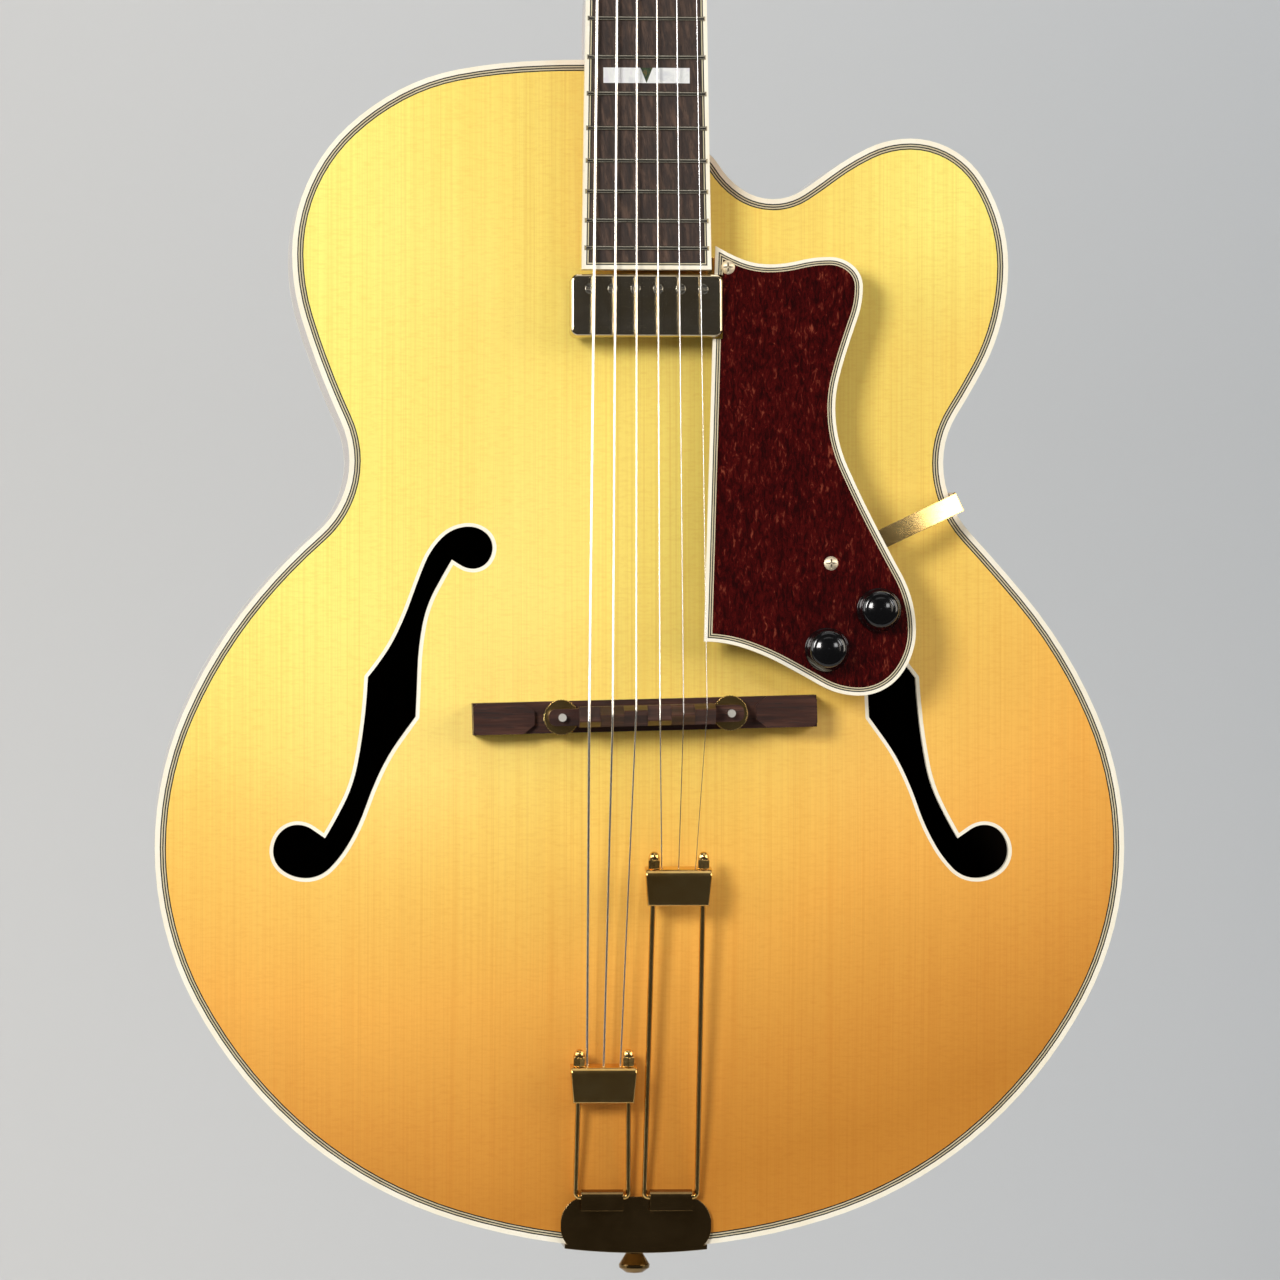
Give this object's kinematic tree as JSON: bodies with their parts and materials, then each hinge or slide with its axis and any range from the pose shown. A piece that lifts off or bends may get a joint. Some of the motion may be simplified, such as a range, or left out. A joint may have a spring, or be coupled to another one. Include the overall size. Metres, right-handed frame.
{
  "type": "archtop guitar",
  "caption": "Hollow archtop electric guitar with a rounded cutaway, f-holes, floating bridge, floating pickup, bound pickguard and a split two-fork tailpiece.",
  "frame": {"origin": "where the axis of the strap button meets the tail, on the centre line at the middle of the rim depth", "axes": "+X to the treble (cutaway) side, +Y to the back, so the carved top faces -Y, +Z along the strings to the headstock"},
  "size_m": [0.4358, 0.1447, 1.0711],
  "materials": {
    "spruce_top": "amber varnish over spruce with fine straight grain",
    "flamed_maple": "amber varnish over flamed maple",
    "ivory_plastic": "aged ivory celluloid",
    "purfling_lines": "thin black and white lines",
    "inner_wood": "bare wood",
    "maple_neck": "amber varnish over maple",
    "rosewood": "dark oiled rosewood",
    "fret_wire": "polished nickel silver",
    "pearl": "mother of pearl",
    "abalone": "dark abalone",
    "bone": "polished bone",
    "black_lacquer": "gloss black",
    "steel": "bright steel",
    "wound_string": "fine wound wire",
    "black_coil": "black bobbins and tape",
    "tortoise": "dark red tortoise-shell celluloid",
    "gold": "gold plate, polished"
  },
  "bodies": {
    "guitar": {"top_plate": "spruce_top", "back_plate": "flamed_maple", "sides": "flamed_maple", "top_binding": "ivory_plastic", "top_purfling": "purfling_lines", "back_binding": "ivory_plastic", "f_hole_binding": "ivory_plastic", "linings": "inner_wood", "neck_block": "inner_wood", "tail_block": "inner_wood", "tone_bars": "inner_wood", "neck": "maple_neck", "heel_cap": "ivory_plastic", "fretboard": "rosewood", "fretboard_binding": "ivory_plastic", "frets": "fret_wire", "inlay_blocks": "pearl", "inlay_wedges": "abalone", "nut": "bone", "headstock_overlay": "black_lacquer", "headstock_binding": "ivory_plastic", "truss_rod": "steel", "truss_rod_cover": "black_lacquer", "screws": "gold", "tuner_housings": "gold", "tuner_bushings": "gold", "pickup_cover": "gold", "pickup_coils": "black_coil", "pickup_pole_screws": "gold", "pickup_bracket": "gold", "pickguard": "tortoise", "pickguard_binding": "ivory_plastic", "pickguard_bracket": "gold", "pot_housings": "steel", "bridge_base": "rosewood", "bridge_posts": "steel", "tailpiece_plate": "gold", "wound_strings": "wound_string", "plain_strings": "steel", "strap_button": "gold", "output_jack": "gold"},
    "key_1": {"tuner_key_1": "gold"},
    "post_1": {"tuner_post_1": "gold"},
    "key_2": {"tuner_key_2": "gold"},
    "post_2": {"tuner_post_2": "gold"},
    "key_3": {"tuner_key_3": "gold"},
    "post_3": {"tuner_post_3": "gold"},
    "key_4": {"tuner_key_4": "gold"},
    "post_4": {"tuner_post_4": "gold"},
    "key_5": {"tuner_key_5": "gold"},
    "post_5": {"tuner_post_5": "gold"},
    "key_6": {"tuner_key_6": "gold"},
    "post_6": {"tuner_post_6": "gold"},
    "saddle": {"bridge_saddle": "rosewood"},
    "bass_wheel": {"bass_thumbwheel": "gold"},
    "treble_wheel": {"treble_thumbwheel": "gold"},
    "volume": {"volume_knob": "black_lacquer"},
    "tone": {"tone_knob": "black_lacquer"},
    "bass_fork_body": {"bass_fork": "gold"},
    "treble_fork_body": {"treble_fork": "gold"}
  },
  "joints": [
    {"name": "key_turn_1", "type": "hinge", "parent": "guitar", "child": "key_1", "pos_m": [-0.025, -0.00906, 0.91972], "axis": [1, 0, 0], "continuous": true},
    {"name": "post_turn_1", "type": "hinge", "parent": "guitar", "child": "post_1", "pos_m": [-0.025, -0.00737, 0.92553], "axis": [0, 0.9603, -0.279], "continuous": true},
    {"name": "key_turn_2", "type": "hinge", "parent": "guitar", "child": "key_2", "pos_m": [-0.025, 0.00154, 0.95621], "axis": [1, 0, 0], "continuous": true},
    {"name": "post_turn_2", "type": "hinge", "parent": "guitar", "child": "post_2", "pos_m": [-0.025, 0.00323, 0.96202], "axis": [0, 0.9603, -0.279], "continuous": true},
    {"name": "key_turn_3", "type": "hinge", "parent": "guitar", "child": "key_3", "pos_m": [-0.025, 0.01214, 0.9927], "axis": [1, 0, 0], "continuous": true},
    {"name": "post_turn_3", "type": "hinge", "parent": "guitar", "child": "post_3", "pos_m": [-0.025, 0.01383, 0.99852], "axis": [0, 0.9603, -0.279], "continuous": true},
    {"name": "key_turn_4", "type": "hinge", "parent": "guitar", "child": "key_4", "pos_m": [0.025, 0.01214, 0.9927], "axis": [1, 0, 0], "continuous": true},
    {"name": "post_turn_4", "type": "hinge", "parent": "guitar", "child": "post_4", "pos_m": [0.025, 0.01383, 0.99852], "axis": [0, 0.9603, -0.279], "continuous": true},
    {"name": "key_turn_5", "type": "hinge", "parent": "guitar", "child": "key_5", "pos_m": [0.025, 0.00154, 0.95621], "axis": [1, 0, 0], "continuous": true},
    {"name": "post_turn_5", "type": "hinge", "parent": "guitar", "child": "post_5", "pos_m": [0.025, 0.00323, 0.96202], "axis": [0, 0.9603, -0.279], "continuous": true},
    {"name": "key_turn_6", "type": "hinge", "parent": "guitar", "child": "key_6", "pos_m": [0.025, -0.00906, 0.91972], "axis": [1, 0, 0], "continuous": true},
    {"name": "post_turn_6", "type": "hinge", "parent": "guitar", "child": "post_6", "pos_m": [0.025, -0.00737, 0.92553], "axis": [0, 0.9603, -0.279], "continuous": true},
    {"name": "saddle_lift", "type": "slide", "parent": "guitar", "child": "saddle", "axis": [0, -1, 0], "range_m": [-0.0015, 0.004], "deforming": ["wound_strings", "plain_strings"]},
    {"name": "bass_wheel_turn", "type": "hinge", "parent": "saddle", "child": "bass_wheel", "pos_m": [-0.03729, -0.0697, 0.23642], "axis": [0, -1, 0], "range_deg": [-676.8, 1803.6]},
    {"name": "treble_wheel_turn", "type": "hinge", "parent": "saddle", "child": "treble_wheel", "pos_m": [0.03729, -0.0697, 0.23838], "axis": [0, -1, 0], "range_deg": [-676.8, 1803.6]},
    {"name": "volume_turn", "type": "hinge", "parent": "guitar", "child": "volume", "pos_m": [0.07957, -0.07321, 0.26623], "axis": [0, -0.9984, 0.0558], "range_deg": [-150, 150]},
    {"name": "tone_turn", "type": "hinge", "parent": "guitar", "child": "tone", "pos_m": [0.10263, -0.07223, 0.28377], "axis": [0, -0.9984, 0.0558], "range_deg": [-150, 150]},
    {"name": "bass_fork_hinge", "type": "hinge", "parent": "guitar", "child": "bass_fork_body", "pos_m": [-0.0175, -0.0464, 0.023], "axis": [1, 0, 0], "range_deg": [-1, 2], "stiffness_Nm_per_rad": 4, "deforming": ["wound_strings"]},
    {"name": "treble_fork_hinge", "type": "hinge", "parent": "guitar", "child": "treble_fork_body", "pos_m": [0.0131, -0.0464, 0.023], "axis": [1, 0, 0], "range_deg": [-1, 2], "stiffness_Nm_per_rad": 4, "deforming": ["wound_strings", "plain_strings"]}
  ],
  "couplings": [
    {"joint": "post_turn_1", "follows": "key_turn_1", "ratio": -0.071429},
    {"joint": "post_turn_2", "follows": "key_turn_2", "ratio": -0.071429},
    {"joint": "post_turn_3", "follows": "key_turn_3", "ratio": -0.071429},
    {"joint": "post_turn_4", "follows": "key_turn_4", "ratio": 0.071429},
    {"joint": "post_turn_5", "follows": "key_turn_5", "ratio": 0.071429},
    {"joint": "post_turn_6", "follows": "key_turn_6", "ratio": 0.071429},
    {"joint": "bass_wheel_turn", "follows": "saddle_lift", "rad_per_m": 7854},
    {"joint": "treble_wheel_turn", "follows": "saddle_lift", "rad_per_m": 7854}
  ]
}
